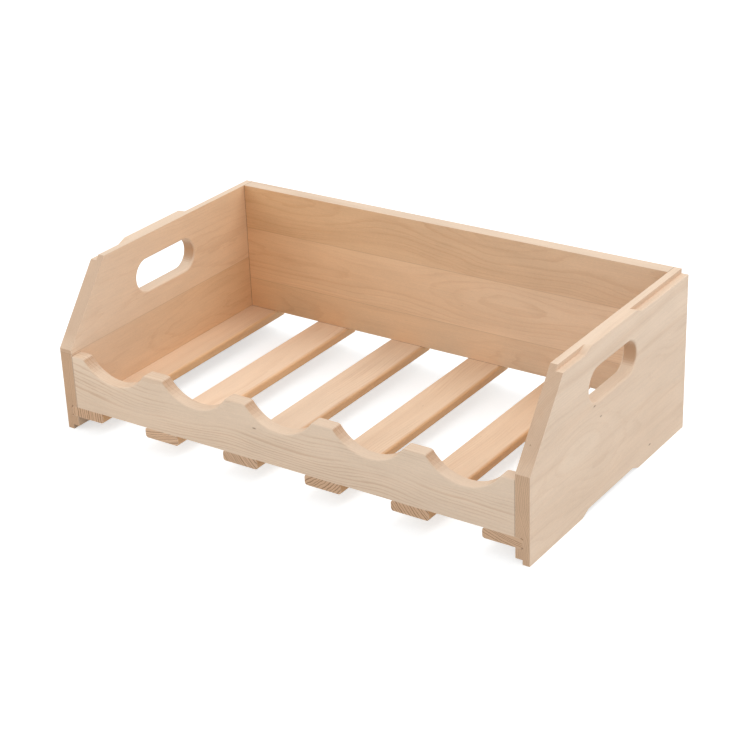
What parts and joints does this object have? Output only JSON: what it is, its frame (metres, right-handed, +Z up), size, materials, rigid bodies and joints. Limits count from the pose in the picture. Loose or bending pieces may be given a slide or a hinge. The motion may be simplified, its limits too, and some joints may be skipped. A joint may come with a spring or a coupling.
{
  "type": "wine rack",
  "caption": "Low open wooden wine rack with sloped-front side panels, hand holes, a tall back, a scalloped front rail and a base of slats; stepped edges let racks stack.",
  "frame": {"origin": "on the floor under the middle of the rack's width and depth", "axes": "+X along the width, +Y from the open scalloped front to the back panel, +Z up"},
  "size_m": [0.55, 0.315, 0.173],
  "materials": {
    "side_panels": "matte, unvarnished planed hardwood, glued up from staves",
    "back_panel": "matte, unvarnished planed hardwood, glued up from staves",
    "front_rail": "matte, unvarnished planed hardwood",
    "slats": "matte, unvarnished planed hardwood",
    "dowels": "matte turned hardwood",
    "screws": "zinc-plated, satin"
  },
  "bodies": {
    "root": {"left_side_panel": "side_panels", "right_side_panel": "side_panels", "back_panel": "back_panel", "front_rail": "front_rail", "slat_1": "slats", "slat_2": "slats", "slat_3": "slats", "slat_4": "slats", "slat_5": "slats", "slat_6": "slats", "left_rail_dowels": "dowels", "right_rail_dowels": "dowels", "left_back_dowels": "dowels", "right_back_dowels": "dowels", "front_slat_screws": "screws", "rear_slat_screws": "screws"}
  },
  "joints": []
}
